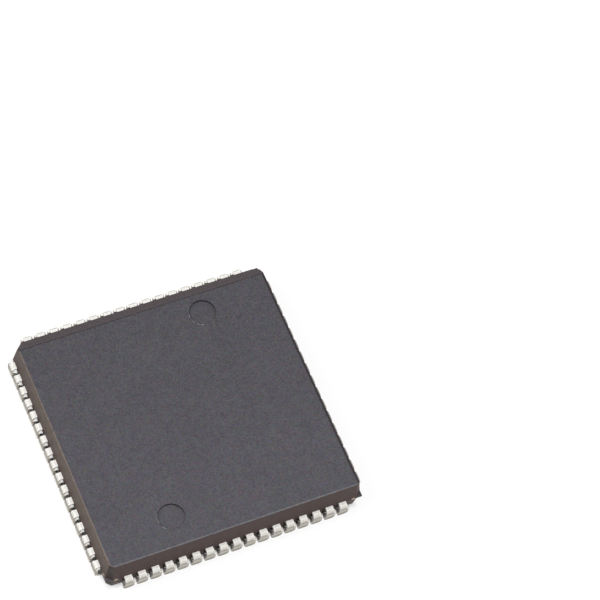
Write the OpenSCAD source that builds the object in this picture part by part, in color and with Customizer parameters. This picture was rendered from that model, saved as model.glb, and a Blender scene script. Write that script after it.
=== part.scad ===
// Plastic leaded chip carrier: a square moulded body with J-shaped leads on all four sides.
// The board lies at z = 0, the front is -Y, and the index corner is at -X, +Y.

/* [Body] */
// Width of the body at the parting line, both ways
body_w = 24.2; // [24.13:0.01:24.33]
// Height of the top face above the board
top_z = 4.5; // [4.4:0.05:4.55]
// Gap between the board and the underside
standoff = 0.6; // [0.52:0.02:0.7]
// Slope of the side walls from upright, in degrees
draft = 8; // [6:0.5:10]
// Rounding of the upper and lower edges along the sides
edge_r = 0.16; // [0.14:0.01:0.2]
// Rounding of those edges at the corners
corner_edge_r = 0.12; // [0.08:0.01:0.13]
// Leg of the 45 degree index corner
index_leg = 1.25; // [1.07:0.01:1.3]
// Leg of the other three corners
corner_leg = 0.54; // [0.4:0.02:0.6]
// Distance from the middle to the upper edge of the sloping wall on the pin 1 side
slope_top = 10.48; // [10.3:0.02:10.9]
// Rise of the lower edge of that wall above the leads
slope_rise = 0.1; // [0.06:0.02:0.3]

/* [Mould marks] */
// Diameter of the ejector pin marks
mark_d = 2.45; // [2:0.05:2.6]
// Depth of the ejector pin marks
mark_depth = 0.14; // [0.05:0.01:0.2]
// Distance of the two upper marks from the middle, sideways
top_mark_x = 5.05; // [4:0.05:6]
// Half of the distance between them, front to back
top_mark_y = 8.8; // [8:0.05:8.9]
// Shift of both upper marks towards the front
top_mark_shift = 0.23; // [0:0.01:0.3]
// Distance of the four lower marks from the middle, both ways
low_mark = 8.1; // [7.6:0.1:8.4]
// Diameter of the large round recess in the underside
gate_d = 12.3; // [10:0.1:13]
// Depth of the large round recess
gate_depth = 0.05; // [0.03:0.01:0.08]

/* [Leads] */
// Leads on each side, an odd number
lead_count = 17; // [13:2:17]
// Distance between neighbouring leads
pitch = 1.27; // [1.25:0.01:1.27]
// Width of the part over the leads
span = 25.15; // [25.02:0.01:25.27]
// Thickness of the lead frame sheet
sheet = 0.22; // [0.2:0.01:0.25]
// Height of the upper face of the leads where they leave the body
exit_z = 2.4; // [2.36:0.01:2.5]
// Width of a lead where it leaves the body
neck_w = 0.67; // [0.66:0.01:0.78]
// Width of a lead over the stubs left by trimming
stub_w = 1.05; // [1:0.01:1.1]
// Width of a lead at its foot
foot_w = 0.46; // [0.36:0.01:0.5]
// Outer radius of the bend at the shoulder
shoulder_r = 0.26; // [0.25:0.01:0.4]
// Outer radius of the curl at the foot
foot_r = 0.98; // [0.9:0.01:1.05]
// Turn of the curl past its lowest point, in degrees
tip_turn = 76; // [65:1:80]
// Width of the pocket around each tip
pocket_w = 0.78; // [0.7:0.02:0.82]
// Depth of the pocket above the underside
pocket_depth = 0.9; // [0.8:0.02:1]

/* [Inside] */
// Width of the silicon die
die_w = 7.5; // [7:0.1:8]
// Thickness of the silicon die
die_t = 0.4; // [0.3:0.01:0.45]
// Thickness of the layer that holds the die
attach_t = 0.03; // [0.02:0.01:0.05]
// Width of the pad under the die
pad_w = 10; // [9.8:0.1:10.2]
// Distance between neighbouring lead tips beside the pad
tip_pitch = 0.6; // [0.56:0.01:0.61]
// Distance between neighbouring bonds on the die
bond_pitch = 0.42; // [0.34:0.01:0.42]
// Thickness of the bond wires
wire_d = 0.04; // [0.03:0.01:0.05]
// Rise of a bond wire above the straight line between its ends
wire_rise = 0.38; // [0.3:0.01:0.5]

/* [Hidden] */
$fn = 48;

// Turn about Z of each side, from the front
FRONT = 0;
RIGHT = 90;
BACK = 180;
LEFT = 270;
SIDES = [FRONT, RIGHT, BACK, LEFT];

EPOXY = [0.30, 0.30, 0.32];
TIN = [0.80, 0.79, 0.76];
COPPER = [0.72, 0.48, 0.34];
SILVER_PASTE = [0.62, 0.63, 0.65];
SILICON = [0.36, 0.38, 0.44];
GOLD = [0.86, 0.68, 0.30];

half_w = body_w / 2;
part_z = exit_z - sheet / 2;
slope_low = exit_z + slope_rise;
bleed = 1;

// Flat half width at the corners, square to the diagonal
corner_reach = half_w * sqrt(2) - corner_leg / sqrt(2);
index_reach = half_w * sqrt(2) - index_leg / sqrt(2);

lead_out = span / 2;
lead_ids = [-(lead_count - 1) / 2 : (lead_count - 1) / 2];
lead_lap = 0.1;

// The wide part of a lead: its ends, the rounding of its lower corners and its flare to the foot
stub_drop = 0.34;
stub_dip = 0.26;
stub_r = 0.45;
stub_top = exit_z - stub_drop;
stub_low = foot_r - stub_dip;
flank = stub_w / 2 - stub_r;
flare_out = 0.21;
flare_lap = 0.07;
flare_h = 0.17;
flare_reach = flank + flare_out;
flare_top = stub_low + flare_lap;
flare_low = stub_low - flare_h;

// Inner end of the pockets, clear of the tips
tip_gap = 0.25;
pocket_end = lead_out - foot_r - foot_r * sin(tip_turn) - tip_gap;

// An inner finger: straight inside the wall, fanned in towards the pad, and straight again at its tip
neck_run = 0.9;
tip_run = 0.95;
pad_gap = 0.45;
finger_w = 0.32;
neck_in = half_w - neck_run;
finger_end = pad_w / 2 + pad_gap;
fan_end = finger_end + tip_run;

// A tie bar, and the distance from the body's edge to its middle where it forks outwards
tie_w = 0.32;
tie_edge = 0.85;
tie_turn = half_w - tie_edge;

// The die on its layer
attach_rim = 0.1;
die_z = exit_z + attach_t;
die_top = die_z + die_t;

// A bond wire: a ball inside the die's edge, and a stitch a little way along the finger
bond_edge = 0.15;
stitch_run = 0.3;
bond_in = die_w / 2 - bond_edge;
stitch_out = finger_end + stitch_run;
ball_d = 0.09;
ball_h = 0.03;
wire_steps = 8;
slope_step = 0.01;

// Half width of a wall that is reach wide at the parting line, at height z
function wall_at(reach, z) = reach - abs(z - part_z) * tan(draft);

// Cross-section through two opposite walls with edges of radius r; the upper right wall may slope further
module wall_section(left_reach, right_reach, r, sloped) {
    difference() {
        polygon([
            [-wall_at(left_reach, standoff), standoff],
            [wall_at(right_reach, standoff), standoff],
            [right_reach, part_z],
            if (sloped) [wall_at(right_reach, slope_low), slope_low],
            [sloped ? slope_top : wall_at(right_reach, top_z), top_z],
            [-wall_at(left_reach, top_z), top_z],
            [-left_reach, part_z]
        ]);
        mirror([1, 0]) edge_sliver(left_reach, r, top_z, 1);
        mirror([1, 0]) edge_sliver(left_reach, r, standoff, -1);
        edge_sliver(right_reach, r, standoff, -1);
        if (!sloped) edge_sliver(right_reach, r, top_z, 1);
    }
}

// What a rounding of radius r takes off the edge of a wall where it meets the face at height z
module edge_sliver(reach, r, z, up) {
    tangent = r * tan(45 - draft / 2);
    middle = [wall_at(reach, z) - tangent, z - up * r];
    far = 3 * r;
    difference() {
        polygon([
            [wall_at(reach, z) + r, z + up * r],
            [middle[0], z + up * r],
            middle,
            middle + far * [cos(draft), up * sin(draft)]
        ]);
        translate(middle) circle(r);
    }
}

// A bar of the section above, through the whole body and turned about Z
module section_bar(turn, left_reach, right_reach, r, sloped = false) {
    rotate([0, 0, turn]) rotate([90, 0, 0])
        linear_extrude(body_w * 2, center = true) wall_section(left_reach, right_reach, r, sloped);
}

// Thin webs of resin in the corners of the lead frame's window, at all corners but the index one
module corner_webs() {
    far = half_w + bleed;
    frame_sheet() polygon([[-far, -far], [far, -far], [far, far], [0, far], [-far, 0]]);
}

module body_block() {
    intersection() {
        section_bar(0, half_w, half_w, edge_r);
        section_bar(90, half_w, half_w, edge_r, sloped = true);
        union() {
            intersection() {
                section_bar(45, corner_reach, corner_reach, corner_edge_r);
                section_bar(135, corner_reach, index_reach, corner_edge_r);
            }
            corner_webs();
        }
    }
}

module round_mark(x, y, z, d, depth) {
    translate([x, y, z - depth]) cylinder(d = d, h = 2 * depth);
}

module mould_marks() {
    for (s = [-1, 1])
        round_mark(s * top_mark_x, s * top_mark_y - top_mark_shift, top_z, mark_d, mark_depth);
    for (sx = [-1, 1], sy = [-1, 1])
        round_mark(sx * low_mark, sy * low_mark, standoff, mark_d, mark_depth);
    round_mark(0, 0, standoff, gate_d, gate_depth);
}

// Pockets of one side, seen from the front
module tip_pockets() {
    for (i = lead_ids)
        translate([i * pitch - pocket_w / 2, -half_w - bleed, standoff - bleed])
            cube([pocket_w, half_w + bleed - pocket_end, pocket_depth + bleed]);
}

// Plan of the inner finger of one lead, from the body's edge to the die pad
module finger_plan(i, out) {
    root = i * pitch;
    tip = i * tip_pitch;
    polygon([
        [root - neck_w / 2, -out],
        [root + neck_w / 2, -out],
        [root + neck_w / 2, -neck_in],
        [tip + finger_w / 2, -fan_end],
        [tip + finger_w / 2, -finger_end],
        [tip - finger_w / 2, -finger_end],
        [tip - finger_w / 2, -fan_end],
        [root - neck_w / 2, -neck_in]
    ]);
}

// Plan of one tie bar, along a diagonal and then forked out through both walls of its corner
module tie_plan(out) {
    fork = out - tie_turn + tie_w / 2;
    rotate(-45) translate([0, -tie_w / 2]) square([tie_turn * sqrt(2), tie_w]);
    translate([tie_turn - tie_w / 2, -out]) square([tie_w, fork]);
    translate([tie_turn - tie_w / 2, -tie_turn - tie_w / 2]) square([fork, tie_w]);
}

// The tie bar of the index corner runs straight out through the chamfer
module index_tie_plan(out) {
    rotate(135) translate([0, -tie_w / 2]) square([out, tie_w]);
}

module pad_plan(out, index_out) {
    square(pad_w, center = true);
    for (side = [FRONT, RIGHT, LEFT]) rotate(side) tie_plan(out);
    index_tie_plan(index_out);
}

module frame_sheet() {
    translate([0, 0, exit_z - sheet]) linear_extrude(sheet) children();
}

// Ring sector in the plane of a lead's side view, from angle a to angle b
module bend(r, a, b) {
    far = 2 * r;
    steps = 4;
    intersection() {
        difference() {
            circle(r);
            circle(r - sheet);
        }
        polygon([
            [0, 0],
            for (k = [0 : steps]) let (turn = a + (b - a) * k / steps) far * [cos(turn), sin(turn)]
        ]);
    }
}

// Side view of a lead outside the body: x is the distance out from the middle of the part
module lead_side_view() {
    straight_top = exit_z - shoulder_r;
    shelf_in = half_w - lead_lap;
    shelf_out = lead_out - shoulder_r;
    translate([shelf_in, exit_z - sheet]) square([shelf_out - shelf_in, sheet]);
    translate([shelf_out, straight_top]) bend(shoulder_r, 0, 90);
    translate([lead_out - sheet, foot_r]) square([sheet, straight_top - foot_r]);
    translate([lead_out - foot_r, foot_r]) bend(foot_r, -90 - tip_turn, 0);
}

// Front view of a lead: a neck, a wide part between its trimmed stubs, a flare and the foot
module lead_front_view() {
    round_z = stub_low + stub_r;
    translate([-neck_w / 2, round_z]) square([neck_w, exit_z + bleed - round_z]);
    translate([-stub_w / 2, round_z]) square([stub_w, stub_top - round_z]);
    translate([-flank, stub_low]) square([2 * flank, 2 * stub_r]);
    for (s = [-1, 1]) translate([s * flank, round_z]) circle(stub_r);
    polygon([
        [-foot_w / 2, flare_low],
        [foot_w / 2, flare_low],
        [flare_reach, flare_top],
        [-flare_reach, flare_top]
    ]);
    translate([-foot_w / 2, -bleed]) square([foot_w, stub_low + bleed]);
}

module lead_outside() {
    intersection() {
        rotate([90, 0, -90]) linear_extrude(stub_w * 2, center = true) lead_side_view();
        rotate([90, 0, 0]) linear_extrude(span) lead_front_view();
    }
}

module lead(i) {
    translate([i * pitch, 0, 0]) lead_outside();
    frame_sheet() finger_plan(i, half_w);
}

module lead_row(side) {
    color(TIN) rotate([0, 0, side]) for (i = lead_ids) lead(i);
}

// Point of a bond wire at share f of its run, as distance along and height
function wire_height(f) = die_top + f * (exit_z - die_top) + wire_rise * sin(180 * sqrt(f));
function wire_point(f, run) = [f * run, wire_height(f)];
function wire_slope(f, run) = wire_point(f + slope_step, run) - wire_point(f - slope_step, run);
function wire_side(f, run) = let (v = wire_slope(f, run)) wire_d / 2 * [-v[1], v[0]] / norm(v);

// Side view of a bond wire, from its ball on the die to its stitch on the finger
module wire_view(run) {
    shares = [for (k = [1 : wire_steps - 1]) k / wire_steps];
    polygon([
        [-ball_d / 2, die_top],
        [ball_d / 2, die_top],
        [ball_d / 2, die_top + ball_h],
        for (f = shares) wire_point(f, run) - wire_side(f, run),
        [run - ball_d / 2, exit_z],
        [run + ball_d / 2, exit_z],
        for (k = [len(shares) - 1 : -1 : 0]) wire_point(shares[k], run) + wire_side(shares[k], run),
        [-ball_d / 2, die_top + ball_h]
    ]);
}

module bond_wire(i) {
    start = [i * bond_pitch, -bond_in];
    way = [i * tip_pitch, -stitch_out] - start;
    translate([start[0], start[1], 0]) rotate([0, 0, atan2(way[1], way[0])])
        rotate([90, 0, 0]) linear_extrude(wire_d, center = true) wire_view(norm(way));
}

module wire_row(side) {
    color(GOLD) rotate([0, 0, side]) for (i = lead_ids) bond_wire(i);
}

module moulded_body() {
    color(EPOXY) difference() {
        body_block();
        mould_marks();
        for (side = SIDES) rotate([0, 0, side]) tip_pockets();
        frame_sheet() {
            for (side = SIDES) rotate(side) for (i = lead_ids) finger_plan(i, half_w + bleed);
            pad_plan(half_w + bleed, body_w);
        }
        attach_block();
        die_block();
        for (side = SIDES) rotate([0, 0, side]) for (i = lead_ids) bond_wire(i);
    }
}

module attach_block() {
    size = die_w + 2 * attach_rim;
    translate([-size / 2, -size / 2, exit_z]) cube([size, size, attach_t]);
}

module die_block() {
    translate([-die_w / 2, -die_w / 2, die_z]) cube([die_w, die_w, die_t]);
}

module die_pad() {
    color(COPPER) intersection() {
        frame_sheet() pad_plan(half_w + bleed, body_w);
        body_block();
    }
}

module die_attach() {
    color(SILVER_PASTE) attach_block();
}

module silicon_die() {
    color(SILICON) die_block();
}

module leads_front() {
    lead_row(FRONT);
}

module leads_right() {
    lead_row(RIGHT);
}

module leads_back() {
    lead_row(BACK);
}

module leads_left() {
    lead_row(LEFT);
}

module wires_front() {
    wire_row(FRONT);
}

module wires_right() {
    wire_row(RIGHT);
}

module wires_back() {
    wire_row(BACK);
}

module wires_left() {
    wire_row(LEFT);
}

moulded_body();
leads_front();
leads_right();
leads_back();
leads_left();
die_pad();
die_attach();
silicon_die();
wires_front();
wires_right();
wires_back();
wires_left();
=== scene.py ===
"""A plastic leaded chip carrier on a white table, lit softly from its left and, less, from its front."""
import math
from functools import cached_property

import bpy
from mathutils import Matrix, Vector

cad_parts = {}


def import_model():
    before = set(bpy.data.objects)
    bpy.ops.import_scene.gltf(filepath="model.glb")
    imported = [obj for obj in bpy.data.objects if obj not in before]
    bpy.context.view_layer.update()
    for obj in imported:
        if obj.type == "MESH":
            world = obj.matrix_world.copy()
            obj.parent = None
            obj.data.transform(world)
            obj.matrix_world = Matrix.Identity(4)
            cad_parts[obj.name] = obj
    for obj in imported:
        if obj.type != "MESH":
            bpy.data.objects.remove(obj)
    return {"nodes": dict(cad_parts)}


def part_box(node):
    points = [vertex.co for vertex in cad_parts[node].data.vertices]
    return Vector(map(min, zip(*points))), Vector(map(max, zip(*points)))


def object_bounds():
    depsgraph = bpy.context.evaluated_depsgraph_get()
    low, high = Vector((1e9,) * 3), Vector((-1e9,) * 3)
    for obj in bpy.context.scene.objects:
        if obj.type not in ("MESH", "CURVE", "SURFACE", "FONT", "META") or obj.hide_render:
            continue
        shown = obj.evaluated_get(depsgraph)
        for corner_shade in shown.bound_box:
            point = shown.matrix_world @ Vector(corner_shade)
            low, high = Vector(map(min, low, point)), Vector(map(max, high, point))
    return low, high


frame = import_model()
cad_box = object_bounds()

MM = 0.001

# Places on the body, in millimetres from the middle of the table under it
BODY_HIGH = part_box("moulded_body")[1] / MM
HALF_WIDTH = BODY_HIGH.x
TOP_Z = BODY_HIGH.z
SLOPE_EDGE = 10.48
MARK_RADIUS = 1.225
MARK_ASIDE = 5.05
MARK_AWAY = 8.8
MARK_SHIFT = 0.23
MARKS = [(side * MARK_ASIDE, side * MARK_AWAY - MARK_SHIFT) for side in (1, -1)]

# Sizes of the leads, and heights on them: where they leave the body, the wide part and a dark line across it
LEAD_PITCH = 1.27
SHEET = 0.22
LEAD_OUT = cad_box[1][0] / MM
LEAD_INSIDE = LEAD_OUT - SHEET
NECK_HALF = 0.335
STUB_HALF = 0.525
EXIT_Z = 2.4
STUB_TOP = EXIT_Z - 0.34
LINE_Z = EXIT_Z - 0.6
STUB_LOW = EXIT_Z - 0.8


def rgb(red, green, blue):
    return (red, green, blue, 1.0)


def around(middle, half):
    """The span that reaches half to either side of middle."""
    return (middle - half, middle + half)


class Shader:
    """Short calls that add nodes to one material and link them."""

    def __init__(self, name):
        self.material = bpy.data.materials.new(name)
        self.material.use_nodes = True
        self.tree = self.material.node_tree
        self.surface = self.tree.nodes["Principled BSDF"]
        self.coordinates = self.add("ShaderNodeTexCoord").outputs
        self.mm = self.scale(self.coordinates["Object"], 1 / MM)

    @cached_property
    def at(self):
        """The place's X, Y and Z in millimetres."""
        return self.parts(self.mm)

    @cached_property
    def normal(self):
        """The X, Y and Z of the surface's direction."""
        return self.parts(self.coordinates["Normal"])

    @cached_property
    def out(self):
        """The distance from the middle towards the nearest side."""
        return self.math("MAXIMUM", self.size(self.at["X"]), self.size(self.at["Y"]))

    def add(self, kind, **settings):
        node = self.tree.nodes.new(kind)
        for name, value in settings.items():
            setattr(node, name, value)
        return node

    def put(self, socket, value):
        if isinstance(value, bpy.types.NodeSocket):
            self.tree.links.new(value, socket)
        elif value is not None:
            socket.default_value = value

    def scale(self, vector, factor):
        node = self.add("ShaderNodeVectorMath", operation="SCALE")
        self.put(node.inputs[0], vector)
        self.put(node.inputs["Scale"], factor)
        return node.outputs["Vector"]

    def parts(self, vector):
        node = self.add("ShaderNodeSeparateXYZ")
        self.put(node.inputs[0], vector)
        return node.outputs

    def math(self, operation, a, b=None, c=None):
        node = self.add("ShaderNodeMath", operation=operation)
        for socket, value in zip(node.inputs, (a, b, c)):
            self.put(socket, value)
        return node.outputs[0]

    def size(self, value):
        return self.math("ABSOLUTE", value)

    def times(self, value, *factors):
        for factor in factors:
            value = self.math("MULTIPLY", value, factor)
        return value

    def off(self, value, middle):
        """How far value is from middle, to either side."""
        return self.size(self.math("SUBTRACT", value, middle))

    def swing(self, value, noise, depth):
        """The value, moved up and down by noise, with depth between its ends."""
        return self.math("MULTIPLY_ADD", self.math("SUBTRACT", noise, 0.5), depth, value)

    def ramp(self, value, span, to=(0.0, 1.0)):
        """A smooth step between the two numbers in to, as value crosses the span."""
        node = self.add("ShaderNodeMapRange", interpolation_type="SMOOTHSTEP")
        for socket, number in zip(node.inputs, (value, *span, *to)):
            self.put(socket, number)
        return node.outputs[0]

    def noise(self, scale, detail=2.0, roughness=0.5):
        """Noise from 0 to 1, with scale features to the millimetre."""
        node = self.add("ShaderNodeTexNoise")
        self.put(node.inputs["Vector"], self.mm)
        self.put(node.inputs["Scale"], scale)
        self.put(node.inputs["Detail"], detail)
        self.put(node.inputs["Roughness"], roughness)
        return node.outputs[0]

    def mix(self, share, a, b, blend="MIX"):
        node = self.add("ShaderNodeMix", data_type="RGBA", blend_type=blend)
        self.put(node.inputs[0], share)
        self.put(node.inputs[6], a)
        self.put(node.inputs[7], b)
        return node.outputs[2]

    def bump(self, height, strength, depth):
        """Relief of the given depth in millimetres."""
        node = self.add("ShaderNodeBump")
        self.put(node.inputs["Strength"], strength)
        self.put(node.inputs["Distance"], depth * MM)
        self.put(node.inputs["Height"], height)
        self.put(self.surface.inputs["Normal"], node.outputs[0])

    def set(self, **values):
        for name, value in values.items():
            self.put(self.surface.inputs[name.replace("_", " ")], value)


# A span runs from where a shade starts to where it is full. These are parts of the surface's direction
STEEP = (0.93, 0.8)
FACES_LEFT = (-0.3, -0.7)
FACES_BACK = (0.3, 0.6)
FACES_NEAR = (-0.1, -0.3)
SHADED_CORNER = (0.15, 0.35)
ROUND_ABOVE_WALL = (0.35, 0.6)
ROUND_BELOW_TOP = (0.995, 0.95)

# Heights on the body, distances from its middle, and the half width of the crease above the slope
WALL_RISE = (EXIT_Z + 0.1, TOP_Z - 0.5)
BELOW_EXIT = (EXIT_Z, EXIT_Z - 0.1)
UPPER_PART = (TOP_Z - 0.6, TOP_Z - 0.5)
NEAR_TOP = (TOP_Z - 0.2, TOP_Z - 0.1)
BELOW_TOP = (TOP_Z - 0.05, TOP_Z - 0.1)
SHADED_POCKETS = (HALF_WIDTH - 0.3, HALF_WIDTH - 0.6)
RIGHT_EDGE = (HALF_WIDTH - 0.6, HALF_WIDTH - 0.5)
CREASE = (0.12, 0.05)

# Distances from a round mark's rim, and from its middle in the direction that FRONT_LEFT gives
MARK_WALL = (0.06, 0.02)
MARK_SHADOW = (0.12, 0.04)
MARK_GLINT = (0.11, 0.04)
FRONT_LEFT = (-0.6, -0.8)
FAR_SIDE = (0.1, -0.7)
FAR_END = (-0.5, -1.1)
NEAR_SIDE = (0.1, 0.8)

# Depths of the light and dark on the body, and its painted shade for each millimetre towards the back
GRAIN = 1.85
PATCHES = 0.35
CLOUDS = 0.2
DIMMED = 0.02
SHADE_TOWARD_BACK = -0.0065

# The middle of a noise's range, where a colour turns over
TURN = (0.35, 0.65)
BROAD_TURN = (0.3, 0.7)
# The next span places the painted glints on the marks' rims.
GLINT_SPOTS = (0.54, 0.66)


def flat_colour(s):
    """Dark resin with a faint mottle, from cool to warm and from green to purple."""
    cool, warm = rgb(0.0765, 0.0775, 0.0935), rgb(0.0865, 0.0775, 0.0851)
    green, purple = rgb(0.967, 1.066, 0.967), rgb(1.033, 0.934, 1.033)
    base = s.mix(s.ramp(s.noise(3.4), TURN), cool, warm)
    tint = s.mix(s.ramp(s.noise(3.9), TURN), green, purple)
    return s.mix(1.0, base, tint, "MULTIPLY")


def wall_colour(s):
    """Browner colour on the walls, paler above. Painted light makes the walls facing left paler than the
    front ones, and painted shade darkens the pockets, the front left corner and the faces turned to the
    back."""
    rise = s.swing(s.ramp(s.at["Z"], WALL_RISE), s.noise(0.8, 3.0, 0.6), 0.5)
    front = s.mix(rise, rgb(0.061, 0.041, 0.039), rgb(0.064, 0.043, 0.041))
    # Painted light: walls facing left are paler than those facing the front.
    left = s.mix(rise, rgb(0.070, 0.049, 0.043), rgb(0.089, 0.067, 0.055))
    colour = s.mix(s.ramp(s.normal["X"], FACES_LEFT), front, left)
    # Painted shade in the pockets, below where the leads leave the body.
    pocket_shade = s.times(s.ramp(s.out, SHADED_POCKETS), s.ramp(s.at["Z"], BELOW_EXIT), 0.7)
    colour = s.mix(pocket_shade, colour, rgb(0.015, 0.012, 0.012))
    # Painted shade on the front left corner.
    corner_shade = s.ramp(s.times(s.normal["X"], s.normal["Y"]), SHADED_CORNER, (0.0, 0.65))
    colour = s.mix(corner_shade, colour, rgb(0.022, 0.018, 0.018))
    # Painted shade on the faces turned to the back, the slope among them.
    return s.mix(s.ramp(s.normal["Y"], FACES_BACK), colour, rgb(0.036, 0.021, 0.026))


def paint_edge_light(s, colour, near_top):
    """A painted highlight on the rounded front and left edges, and painted shade along the right edge
    and the crease.
    """
    rounded = s.times(s.ramp(s.normal["Z"], ROUND_ABOVE_WALL),
                      s.ramp(s.normal["Z"], ROUND_BELOW_TOP), near_top)
    near = s.ramp(s.math("MINIMUM", s.normal["X"], s.normal["Y"]), FACES_NEAR)
    # Painted highlight colours on the rounded front and left edges.
    front, left = rgb(0.165, 0.17, 0.18), rgb(0.185, 0.148, 0.126)
    edge_highlight = s.mix(s.ramp(s.normal["X"], FACES_NEAR), front, left)
    colour = s.mix(s.times(rounded, near, 0.7), colour, edge_highlight)
    # Painted shade along the right edge of the top and in the crease above the slope.
    edge = s.ramp(s.at["X"], RIGHT_EDGE)
    crease = s.ramp(s.off(s.at["Y"], SLOPE_EDGE), CREASE, (0.0, 0.8))
    shaded = s.times(s.math("MAXIMUM", edge, crease), near_top, 0.88)
    return s.mix(shaded, colour, rgb(0.030, 0.022, 0.025))


def from_mark(s, centre):
    """How far a place is from a round mark's rim, and how far towards the front left from its middle."""
    aside = s.math("SUBTRACT", s.at["X"], centre[0])
    back = s.math("SUBTRACT", s.at["Y"], centre[1])
    radius = s.math("SQRT", s.math("ADD", s.times(aside, aside), s.times(back, back)))
    toward = s.math("ADD", s.times(aside, FRONT_LEFT[0]), s.times(back, FRONT_LEFT[1]))
    return s.off(radius, MARK_RADIUS), toward


def shade_marks(s, colour, wall, near_top):
    """Painted shade on the far wall and a thin painted shadow in each round mark, and broken painted glints
    on its near rim.
    """
    upper = s.ramp(s.at["Z"], UPPER_PART)
    below_top = s.ramp(s.at["Z"], BELOW_TOP)
    # Spots where the painted glints on the near rims show.
    glint_spots = s.ramp(s.noise(2.6, 1.0), GLINT_SPOTS)
    for centre in MARKS:
        off_rim, toward = from_mark(s, centre)
        # Painted shade on each mark's far wall, and a painted shadow on its floor beside that wall.
        inner = s.times(s.ramp(off_rim, MARK_WALL), wall, s.ramp(toward, FAR_SIDE, (0.0, 0.85)))
        sunk = s.times(s.ramp(off_rim, MARK_SHADOW), below_top, s.ramp(toward, FAR_END, (0.0, 0.6)))
        dark = s.times(s.math("MAXIMUM", inner, sunk), upper)
        colour = s.mix(dark, colour, rgb(0.015, 0.013, 0.015))
        # Painted highlight: broken glints on the near rim.
        glint = s.times(s.ramp(off_rim, MARK_GLINT), s.ramp(toward, NEAR_SIDE), near_top, glint_spots)
        colour = s.mix(glint, colour, rgb(0.19, 0.185, 0.185))
    return colour


def epoxy():
    """Dark filled epoxy: eroded grain on the flat faces, browner walls, and painted light and shade."""
    s = Shader("epoxy")
    wall = s.ramp(s.size(s.normal["Z"]), STEEP)
    near_top = s.ramp(s.at["Z"], NEAR_TOP)
    colour = s.mix(wall, flat_colour(s), wall_colour(s))
    colour = paint_edge_light(s, colour, near_top)
    colour = shade_marks(s, colour, wall, near_top)

    grain = s.noise(6.5, 3.0, 0.8)
    shade = s.swing(1 - DIMMED, grain, GRAIN)
    shade = s.swing(shade, s.noise(1.6), PATCHES)
    shade = s.swing(shade, s.noise(0.25, 3.0), CLOUDS)
    # Painted shade: the body darkens towards the back.
    shade = s.math("MULTIPLY_ADD", s.at["Y"], SHADE_TOWARD_BACK, shade)
    s.set(Base_Color=s.scale(colour, shade), Roughness=s.ramp(grain, BROAD_TURN, (0.50, 0.66)))
    s.set(Specular_IOR_Level=0.16)
    s.bump(grain, 0.5, 0.04)
    return s.material


# Parts of a lead, in millimetres across it, outwards or upwards
DISH = (0.26, 0.1)
BEND_SIDES = (0.31, 0.22)
BESIDE_NECK = (NECK_HALF, NECK_HALF + 0.03)
STUB_SIDE = around(NECK_HALF, 0.02)
DARK_END = (NECK_HALF - 0.03, NECK_HALF + 0.07)
CUT_SIDE = (STUB_HALF - 0.02, STUB_HALF - 0.005)
OUTSIDE = (LEAD_INSIDE + 0.01, LEAD_INSIDE + 0.03)
SHELF_RIM = (LEAD_OUT - 0.06, LEAD_OUT - 0.1)
UNDER_STUB_TOP = (STUB_TOP + 0.04, STUB_TOP + 0.01)
OVER_STUB_LOW = (STUB_LOW - 0.1, STUB_LOW)
CUT_LOW = around(STUB_LOW, 0.05)
OVER_LINE = (LINE_Z - 0.1, LINE_Z)
OVER_CURL = (LINE_Z - 0.45, LINE_Z - 0.25)
DARK_LINE = (0.14, 0.03)
NECK_FADE = 0.03
CURL_FADE = 0.1
METAL_FADE = 0.1
UNEVEN = 0.15

# Parts of a lead by the surface's direction, and the specks in its plating
LEVEL = (0.9, 0.99)
BENT = (0.99, 0.8)
UPRIGHT = (0.75, 0.35)
SHELF = (0.75, 0.9)
FACES_AWAY = (0.2, 0.6)
SPECKS = (0.5, 0.75)


class LeadShader(Shader):
    """A shader that knows the place on a lead, in a row that runs along X or Y."""

    def __init__(self, name, along):
        super().__init__(name)
        self.slide = self.math("WRAP", self.at[along], LEAD_PITCH / 2, -LEAD_PITCH / 2)
        self.across = self.size(self.slide)
        self.mottle = self.noise(2.5, 3.0, 0.6)
        self.height = self.swing(self.at["Z"], self.mottle, UNEVEN)
        self.outside = self.ramp(self.out, OUTSIDE)

    @cached_property
    def stubs(self):
        """The share of the wide part that stands out beside the neck."""
        between = self.times(self.ramp(self.at["Z"], UNDER_STUB_TOP), self.ramp(self.at["Z"], OVER_STUB_LOW))
        return self.times(self.ramp(self.across, BESIDE_NECK), between)


def white_plate(s):
    """Matt white tin, with painted shade along the middle of the neck and round its bend."""
    white = s.mix(s.mottle, rgb(0.94, 0.92, 0.875), rgb(0.985, 0.965, 0.925))
    # Painted shade along the middle of the neck.
    dish_shade = s.times(s.ramp(s.across, DISH), s.ramp(s.normal["Z"], LEVEL), 0.3)
    white = s.mix(dish_shade, white, rgb(0.80, 0.78, 0.73))
    # Painted shade round the bend.
    bend_shade = s.times(s.ramp(s.normal["Z"], BENT), s.ramp(s.across, BEND_SIDES, (0.3, 1.0)))
    return s.mix(bend_shade, white, rgb(0.68, 0.66, 0.615))


def shaded_plate(s, shade_tone, curl, curl_z):
    """A painted shade tone for the lower lead with a dark line across the wide part; below curl_z it turns
    to the colour curl.
    """
    line = s.times(s.ramp(s.off(s.height, LINE_Z), DARK_LINE), 0.6)
    lined = s.mix(line, shade_tone, rgb(0.16, 0.14, 0.115))
    return s.mix(s.ramp(s.height, around(curl_z, CURL_FADE)), curl, lined)


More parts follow.
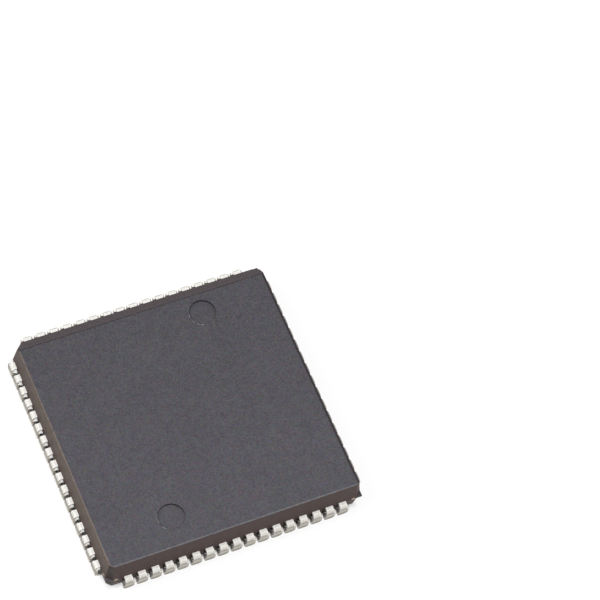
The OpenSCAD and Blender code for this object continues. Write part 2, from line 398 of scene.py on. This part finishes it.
def painted_shade_share(s, neck_end, white_stub):
    """The share of painted shade: upright faces below the neck and the stubs, less white_stub on their upper
    part, and the faces that look away to the back and right."""
    # Painted shade: upright faces below the neck, and the stubs, take the shade tone.
    upright = s.ramp(s.size(s.normal["Z"]), UPRIGHT)
    below_neck = s.times(s.ramp(s.height, around(neck_end, -NECK_FADE)), upright)
    below = s.math("MAXIMUM", below_neck, s.times(s.stubs, 0.8))
    upper = s.times(s.ramp(s.across, STUB_SIDE), s.ramp(s.height, OVER_LINE, (0.0, white_stub)))
    below = s.times(below, s.outside, s.math("SUBTRACT", 1.0, upper))
    # Painted shade on the faces turned to the back and right.
    away_shade = s.ramp(s.math("MAXIMUM", s.normal["X"], s.normal["Y"]), FACES_AWAY, (0.0, 0.8))
    return s.math("MAXIMUM", below, away_shade)


def tin(name, along, neck_end, shade_tone, curl, curl_z, metal, dark_side, dark, white_stub):
    """Tin plate, white on the necks, with bare metal where the sheet was cut. Painted shade turns it grey
    below neck_end and on faces turned to the back and right. Below the neck it shines by the share metal,
    and painted shade darkens the wide part by the share dark at the end that dark_side points to."""
    s = LeadShader("tin_" + name, along)
    grain = s.noise(16.0)
    colour = s.mix(painted_shade_share(s, neck_end, white_stub), white_plate(s), shaded_plate(s, shade_tone, curl, curl_z))
    colour = s.mix(s.ramp(grain, SPECKS, (0.0, 0.15)), colour, rgb(0.66, 0.63, 0.57))
    shelf = s.times(s.stubs, s.ramp(s.normal["Z"], SHELF), s.ramp(s.out, SHELF_RIM))
    colour = s.mix(shelf, colour, rgb(0.92, 0.90, 0.85))
    cut = s.times(s.ramp(s.across, CUT_SIDE), s.ramp(s.at["Z"], CUT_LOW))
    colour = s.mix(cut, colour, rgb(0.45, 0.37, 0.30))
    # Painted shade at one end of the wide part.
    end_shade = s.times(s.ramp(s.times(s.slide, dark_side), DARK_END), s.outside, s.ramp(s.height, OVER_CURL))
    colour = s.mix(s.times(end_shade, dark), colour, rgb(0.04, 0.034, 0.03))
    shine = s.ramp(s.at["Z"], around(neck_end, METAL_FADE), (metal, 0.0))
    s.set(Base_Color=colour, Metallic=shine, Roughness=s.ramp(s.mottle, BROAD_TURN, (0.38, 0.52)))
    s.bump(grain, 0.2, 0.01)
    return s.material


def copper():
    """Bare copper alloy of the pad and its tie bars, a little tarnished."""
    s = Shader("copper")
    tarnish = s.noise(1.2, 4.0, 0.65)
    s.set(Base_Color=s.mix(tarnish, rgb(0.58, 0.43, 0.31), rgb(0.46, 0.37, 0.28)))
    s.set(Metallic=1.0, Roughness=s.ramp(tarnish, BROAD_TURN, (0.3, 0.5)))
    s.bump(s.noise(12.0), 0.15, 0.01)
    return s.material


def silver_paste():
    """Cured silver-filled adhesive: grey flakes in resin."""
    s = Shader("silver_paste")
    flakes = s.noise(20.0)
    s.set(Base_Color=s.mix(flakes, rgb(0.45, 0.45, 0.46), rgb(0.75, 0.75, 0.77)))
    s.set(Metallic=0.7, Roughness=s.ramp(flakes, BROAD_TURN, (0.35, 0.6)))
    s.bump(flakes, 0.3, 0.01)
    return s.material


def silicon():
    """Polished silicon with the faint blocks of its circuits."""
    s = Shader("silicon")
    blocks = s.add("ShaderNodeTexVoronoi", distance="MANHATTAN")
    s.put(blocks.inputs["Vector"], s.mm)
    s.put(blocks.inputs["Scale"], 1.4)
    lines = s.add("ShaderNodeTexBrick")
    s.put(lines.inputs["Vector"], s.mm)
    s.put(lines.inputs["Scale"], 6.0)
    s.put(lines.inputs["Color1"], rgb(0.16, 0.17, 0.22))
    s.put(lines.inputs["Color2"], rgb(0.22, 0.20, 0.26))
    s.put(lines.inputs["Mortar"], rgb(0.40, 0.38, 0.36))
    s.set(Base_Color=s.mix(0.35, lines.outputs["Color"], blocks.outputs["Color"], "SOFT_LIGHT"))
    s.set(Metallic=0.6, Roughness=s.ramp(blocks.outputs[0], (0.0, 1.0), (0.12, 0.25)))
    return s.material


def gold():
    """Drawn gold wire."""
    s = Shader("gold")
    drawn = s.noise(18.0)
    s.set(Base_Color=s.mix(drawn, rgb(0.88, 0.62, 0.22), rgb(0.98, 0.76, 0.34)))
    s.set(Metallic=1.0, Roughness=s.ramp(drawn, BROAD_TURN, (0.18, 0.32)))
    s.bump(drawn, 0.1, 0.005)
    return s.material


def dress(node, material):
    mesh = frame["nodes"][node].data
    mesh.materials.clear()
    mesh.materials.append(material)


# Radius of a lead's rolled edges in metres, and the angle in degrees from which an edge is rolled
ROLLED_RADIUS = 0.02 * MM
ROLLED_FROM = 40


def soften_edges(node):
    """Rolls the sharp edges that stamping and plating leave round."""
    bevel = frame["nodes"][node].modifiers.new("rolled edges", "BEVEL")
    bevel.width = ROLLED_RADIUS
    bevel.segments = 2
    bevel.limit_method = "ANGLE"
    bevel.angle_limit = math.radians(ROLLED_FROM)
    bevel.harden_normals = True


def dress_leads():
    """The plating of each row, and the rolled edges of its leads."""
    # Painted shade tones for the lower leads: grey for the front and back rows and tan for the sides.
    shade_tone, satin = rgb(0.46, 0.43, 0.38), rgb(0.80, 0.78, 0.73)
    shaded_curl, tan = rgb(0.25, 0.23, 0.19), rgb(0.29, 0.268, 0.228)
    # The front row's lower curl gets a darker painted shade; the other rows keep a pale satin.
    front = tin("front", "X", neck_end=2.1, shade_tone=shade_tone, curl=shaded_curl, curl_z=1.2, metal=0.6,
                dark_side=-1, dark=0.9, white_stub=0.9)
    back = tin("back", "X", neck_end=1.98, shade_tone=shade_tone, curl=satin, curl_z=1.0, metal=0.6,
               dark_side=-1, dark=0.0, white_stub=0.9)
    sides = tin("sides", "Y", neck_end=2.2, shade_tone=tan, curl=satin, curl_z=1.25, metal=0.15,
                dark_side=1, dark=0.5, white_stub=0.0)
    rows = {"leads_front": front, "leads_right": sides, "leads_back": back, "leads_left": sides}
    for row, plating in rows.items():
        dress(row, plating)
        soften_edges(row)


def dress_part():
    dress("moulded_body", epoxy())
    dress_leads()
    dress("die_pad", copper())
    dress("die_attach", silver_paste())
    dress("silicon_die", silicon())
    wire = gold()
    for side in ("front", "right", "back", "left"):
        dress("wires_" + side, wire)


def seen_directly(tree):
    """1 for rays from the camera and for those that mirrors and glass send on, else 0."""
    rays = tree.nodes.new("ShaderNodeLightPath")
    total = rays.outputs["Is Camera Ray"]
    for name in ("Is Glossy Ray", "Is Transmission Ray"):
        node = tree.nodes.new("ShaderNodeMath")
        node.operation = "MAXIMUM"
        tree.links.new(total, node.inputs[0])
        tree.links.new(rays.outputs[name], node.inputs[1])
        total = node.outputs[0]
    return total


# The table's width in metres, and how much of it is a white glow and how strong
FLOOR_SIZE = 3.0
FLOOR_COLOUR = rgb(0.88, 0.88, 0.88)
FLOOR_GLOW = 0.8
GLOW_STRENGTH = 1.08

# Where the glow comes in, in millimetres from the middle: under the part there is none
GLOW_EDGE = (11.2, 12.2)


def floor():
    """A white table that keeps the part's soft shadow."""
    half = FLOOR_SIZE / 2
    mesh = bpy.data.meshes.new("floor")
    corners = [(-half, -half, 0), (half, -half, 0), (half, half, 0), (-half, half, 0)]
    mesh.from_pydata(corners, [], [(0, 1, 2, 3)])
    table = bpy.data.objects.new("floor", mesh)
    bpy.context.scene.collection.objects.link(table)
    s = Shader("white_table")
    s.tree.nodes.remove(s.surface)
    diffuse = s.add("ShaderNodeBsdfDiffuse")
    s.put(diffuse.inputs["Color"], FLOOR_COLOUR)
    glow = s.add("ShaderNodeEmission")
    s.put(glow.inputs["Strength"], GLOW_STRENGTH)
    both = s.add("ShaderNodeMixShader")
    s.put(both.inputs["Fac"], s.times(seen_directly(s.tree), s.ramp(s.out, GLOW_EDGE, (0.0, FLOOR_GLOW))))
    s.put(both.inputs[1], diffuse.outputs[0])
    s.put(both.inputs[2], glow.outputs[0])
    s.put(s.tree.nodes["Material Output"].inputs["Surface"], both.outputs[0])
    mesh.materials.append(s.material)


WORLD_LIGHT = 0.6


def world():
    """White where it is seen, and a softer even light on the part."""
    sky = bpy.data.worlds.new("white_room")
    sky.use_nodes = True
    bpy.context.scene.world = sky
    tree = sky.node_tree
    strength = tree.nodes.new("ShaderNodeMapRange")
    tree.links.new(seen_directly(tree), strength.inputs["Value"])
    strength.inputs["To Min"].default_value = WORLD_LIGHT
    strength.inputs["To Max"].default_value = 1.0
    background = tree.nodes["Background"]
    background.inputs["Color"].default_value = rgb(1.0, 1.0, 1.0)
    tree.links.new(strength.outputs["Result"], background.inputs["Strength"])


# The lamps' distance from the part and their width, in metres, and each one's direction and power in watts
LAMP_DISTANCE = 0.5
LAMP_SIZE = 0.3
KEY_TOWARD = (-0.8, 0.15, 1.0)
KEY_POWER = 1.4
FILL_TOWARD = (0.15, -0.9, 1.0)
FILL_POWER = 0.5


def softbox(name, toward, power):
    """A square lamp in the direction toward, aimed at the part."""
    light = bpy.data.lights.new(name, "AREA")
    light.size = LAMP_SIZE
    light.energy = power
    lamp = bpy.data.objects.new(name, light)
    bpy.context.scene.collection.objects.link(lamp)
    direction = Vector(toward).normalized()
    lamp.location = direction * LAMP_DISTANCE
    lamp.rotation_mode = "QUATERNION"
    lamp.rotation_quaternion = direction.to_track_quat("Z", "Y")


# The camera's turn in degrees, and its place in metres in its own axes from the middle of the part
CAMERA_ELEVATION = 61.27
CAMERA_AZIMUTH = -35.15
CAMERA_ROLL = 13.84
CAMERA_ASIDE = 0.010260
CAMERA_ABOVE = 0.010709
CAMERA_DISTANCE = 0.2995
PART_MIDDLE = (0, 0, EXIT_Z * MM)
LENS_MM = 202.76
SENSOR_MM = 36.0
NEAREST = 0.01
FARTHEST = 10.0


def camera():
    eye = bpy.data.cameras.new("camera")
    eye.sensor_width = SENSOR_MM
    eye.lens = LENS_MM
    eye.clip_start = NEAREST
    eye.clip_end = FARTHEST
    turn = (Matrix.Rotation(math.radians(CAMERA_AZIMUTH), 3, "Z")
            @ Matrix.Rotation(math.radians(90 - CAMERA_ELEVATION), 3, "X")
            @ Matrix.Rotation(math.radians(CAMERA_ROLL), 3, "Z"))
    holder = bpy.data.objects.new("camera", eye)
    bpy.context.scene.collection.objects.link(holder)
    place = turn @ Vector((CAMERA_ASIDE, CAMERA_ABOVE, CAMERA_DISTANCE)) + Vector(PART_MIDDLE)
    holder.matrix_world = Matrix.Translation(place) @ turn.to_4x4()
    bpy.context.scene.camera = holder


bpy.context.scene.view_settings.view_transform = "Standard"
dress_part()
floor()
world()
softbox("key", KEY_TOWARD, KEY_POWER)
softbox("fill", FILL_TOWARD, FILL_POWER)
camera()
